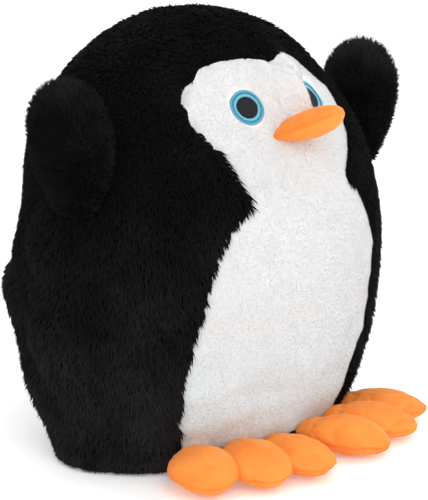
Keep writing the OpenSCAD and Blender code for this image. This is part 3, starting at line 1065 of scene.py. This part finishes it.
# How far a toe reaches below its seam, and back from it into the body, and how far its tip sags
TOE_DROP = 14.3 * MM
TOE_BACK = 6 * MM
TOE_SAG = 2.5 * MM
# The share of its rise that a toe has before it is stuffed
TOE_SLACK = 0.88
# Each toe from the inner one outwards: length, width and rise in mm, the pointedness of its tip,
# and how far its place round the body is off, in degrees
TOES = {
    "right": [(80, 55, 16, 0.9, 0.6), (75, 58, 22, 0.2, -1.9), (77, 59, 23, 1.4, -2.4)],
    "left": [(77, 56, 19.5, 0.2, 0.6), (80, 58, 17.5, 0.2, 0), (78, 57, 14.5, 0.2, 0)],
}
TOE_NAMES = ["inner", "middle", "outer"]


def toe_held(place):
    """A toe's seam and root are sewn down, and its middle is free."""
    return max(1.0 if on_seam(place) else 0.0, 1 - fade(place.y, 4.2 * MM, 18.2 * MM))


def make_toe(name, length, width, rise, point):
    """One stuffed toe along +Y from its root."""
    form = leaf(length * MM + TOE_BACK, width * MM, rise * MM * TOE_SLACK, TOE_DROP,
                root=0.42, widest=0.54, point=point, edge=1.1, under=2.3)
    for v in form.verts:
        v.co.z -= TOE_SAG * fade(v.co.y, 0, length * MM) ** 3
    toe = new_piece(name, form, VELOUR)
    inflate(toe, 3.0, 2.5 * MM, toe_held)
    subdivide(toe, 1)
    return crumple(toe, 1.1 * MM, 90)


def add_feet():
    """Three toes side by side on each foot, with their soles on the floor."""
    for side, sign in (("left", 1), ("right", -1)):
        for number, (length, width, rise, point, shift) in enumerate(TOES[side]):
            angle = math.radians(FOOT_ANGLE + (number - 1) * TOE_STEP + shift)
            heading = FOOT_HEADING + (number - 1) * TOE_FAN
            root = Vector((sign * RING_WIDTH * math.sin(angle), -RING_DEPTH * math.cos(angle), TOE_SEAM))
            toe = make_toe(f"toe_{side}_{TOE_NAMES[number]}", length, width, rise, point)
            place_mesh(toe, Matrix.Translation(root) @ turned(z=sign * heading - 180)
                       @ Matrix.Translation((0, -TOE_BACK, 0)))
            for v in toe.data.vertices:
                v.co.z = max(v.co.z, 0.4 * MM)
            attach(toe, f"foot_{side}")
            if number == 0:
                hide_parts(f"foot_upper_{side}", f"foot_sole_{side}", f"foot_filling_{side}")


# ---- Beak ----

# The height of its middle, how far it points down and rolls, and how much of it is in the face
BEAK_MIDDLE = 282.5 * MM
BEAK_TILT = 23
BEAK_ROLL = 6
BEAK_BURIED = 12 * MM
BEAK_LENGTH = 46 * MM + BEAK_BURIED


def beak_held(place):
    """The beak's seam, root and corners are sewn down, and its middle is free."""
    sewn = on_seam(place) or place.y < 4 * MM
    return max(1.0 if sewn else 0.0, fade(abs(place.x), 14 * MM, 22 * MM))


def add_beak():
    """A rounded beak of two halves, thickest towards its tip."""
    form = leaf(BEAK_LENGTH, 57 * MM, 12.5 * MM, 12.5 * MM,
                root=0.96, widest=0.22, point=-0.25, edge=1.35, under=1.3)
    for v in form.verts:
        share = fade(v.co.y, 0, BEAK_LENGTH)
        v.co.z *= 0.75 + 0.35 * share if v.co.z > 0 else 0.5 + 0.95 * share
    beak = new_piece("beak", form, VELOUR)
    inflate(beak, 3.0, 1.5 * MM, beak_held)
    subdivide(beak, 1)
    crumple(beak, 0.3 * MM, 60)
    face = front_of_dome(1 * MM, BEAK_MIDDLE, PLUSH_OUT)
    place_mesh(beak, Matrix.Translation(face) @ turned(x=-BEAK_TILT) @ turned(z=180)
               @ turned(y=BEAK_ROLL) @ Matrix.Translation((0, -BEAK_BURIED, 0)))
    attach(beak, "body")
    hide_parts("beak_upper", "beak_lower", "beak_filling")


# ---- Flippers ----

# How far each flipper is turned, leans out and rakes back, in degrees, and how far its hinge
# stands outside its seam
FLIPPER_TURN = 8
FLIPPER_LEAN = 7
FLIPPER_RAKE = 3
HINGE_OUT = 5 * MM
# Side, way out along X, length and width in mm, share of the width at the root, and the level of painted
# sheen on its pile
FLIPPERS = [("left", 1, 95, 85, 0.64, 0.24), ("right", -1, 96, 72, 0.45, 0.1)]


def flipper_frame(side, sign):
    """Where a flipper's own frame lies: +Y runs from its root to its tip."""
    joint = next(j for j in frame["joints"] if j["name"] == f"flipper_{side}_seam")
    shoulder = Vector(joint["pos_m"]) - Vector((sign * HINGE_OUT, 0, 0))
    return (Matrix.Translation(shoulder) @ turned(z=-sign * FLIPPER_TURN)
            @ turned(x=FLIPPER_RAKE, y=sign * FLIPPER_LEAN) @ turned(x=90, z=-90 * sign))


def flipper_held(place):
    """A flipper's seam and root are sewn down."""
    return 1.0 if on_seam(place) or place.y < 4 * MM else 0.0


def flipper_pile(name, skin, place, width, bright, seed):
    """Pile that fans out from a flipper's root, longer towards its tip, with a painted sheen that is
    lighter towards its rim and tip.
    """
    back = place.inverted()

    def own(places):
        return np.array([back @ Vector(p) for p in places])

    def outward_run(places):
        spots = own(places)
        run = np.stack([spots[:, 0] / (30 * MM), np.full(len(spots), 1.2), spots[:, 2] * 0], axis=1)
        return np.array([place.to_3x3() @ Vector(r) for r in run])

    def taller_at_tip(places):
        return (8 + 5 * np.clip((own(places)[:, 1] / MM - 50) / 45, 0, 1)) * MM

    # Painted sheen: lighter towards the rim and the tip
    def painted_sheen_at_tip(places):
        spots = own(places) / MM
        reach = np.hypot(spots[:, 0] / (width / 2), (spots[:, 1] - 45) / 52)
        at_tip = np.clip((spots[:, 1] - 74) / 22, 0, 1)
        return bright + 0.15 * np.clip(reach - 0.5, 0, 1) + 0.4 * at_tip

    return tufts(name, skin, BLACK_PILE, 18000, taller_at_tip, 1.6 * MM, outward_run, 0.5, seed,
                 pull=0.55, bright=painted_sheen_at_tip)


def add_flippers():
    """A stuffed, furred flipper raised at each shoulder."""
    for side, sign, length, width, root, bright in FLIPPERS:
        form = leaf(length * MM, width * MM, 11 * MM, 11 * MM, root=root, widest=0.56)
        skin = new_piece(f"flipper_skin_{side}", form, BLACK_SKIN)
        inflate(skin, 2.5, 5 * MM, flipper_held)
        place = flipper_frame(side, sign)
        place_mesh(skin, place)
        fur = flipper_pile(f"flipper_fur_{side}", skin, place, width, bright, 31 + sign)
        for piece in [skin] + fur:
            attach(piece, f"flipper_{side}")
        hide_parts(f"flipper_outer_{side}", f"flipper_inner_{side}", f"flipper_filling_{side}")


# ---- Camera, light and floor ----

def facing(thing, place, target):
    """Puts a camera or a lamp at a place, looking at a target."""
    thing.location = place
    thing.rotation_mode = "QUATERNION"
    thing.rotation_quaternion = (Vector(target) - Vector(place)).to_track_quat("-Z", "Y")
    bpy.context.scene.collection.objects.link(thing)


def add_camera():
    camera = bpy.data.objects.new("camera", bpy.data.cameras.new("camera"))
    camera.data.lens = 130.5
    camera.data.clip_end = 50
    facing(camera, (-1.1296, -1.0719, 0.5352), (0.0055, -0.0145, 0.1629))
    bpy.context.scene.camera = camera


def add_floor():
    form = bmesh.new()
    bmesh.ops.create_grid(form, x_segments=2, y_segments=2, size=6)
    finish, _, _, shader = material("pale_floor")
    shader.inputs["Base Color"].default_value = (0.95, 0.95, 0.95, 1)
    shader.inputs["Emission Color"].default_value = (1, 1, 1, 1)
    shader.inputs["Emission Strength"].default_value = 0.22
    shader.inputs["Roughness"].default_value = 1
    shader.inputs["Specular IOR Level"].default_value = 0
    new_piece("floor", form, finish)


def add_lamp(name, place, size, power):
    lamp = bpy.data.objects.new(name, bpy.data.lights.new(name, "AREA"))
    lamp.data.size = size
    lamp.data.energy = power
    facing(lamp, place, (0, 0, 0.18))


def add_studio():
    """A pale floor and soft light all round, with the camera before the toy's right."""
    add_camera()
    add_floor()
    world = bpy.data.worlds.new("studio")
    world.use_nodes = True
    world.node_tree.nodes["Background"].inputs["Color"].default_value = (1, 1, 1, 1)
    world.node_tree.nodes["Background"].inputs["Strength"].default_value = 1.0
    bpy.context.scene.world = world
    add_lamp("key", (-1.3, -2.2, 2.3), 1.6, 24)
    add_lamp("fill", (1.8, -1.6, 1.4), 1.8, 9)
    add_lamp("back", (0.4, 2.2, 2.0), 1.8, 14)
    bpy.context.scene.view_settings.view_transform = "Standard"


# ---- The whole toy ----

add_studio()
add_eyes(add_body())
add_feet()
add_beak()
add_flippers()
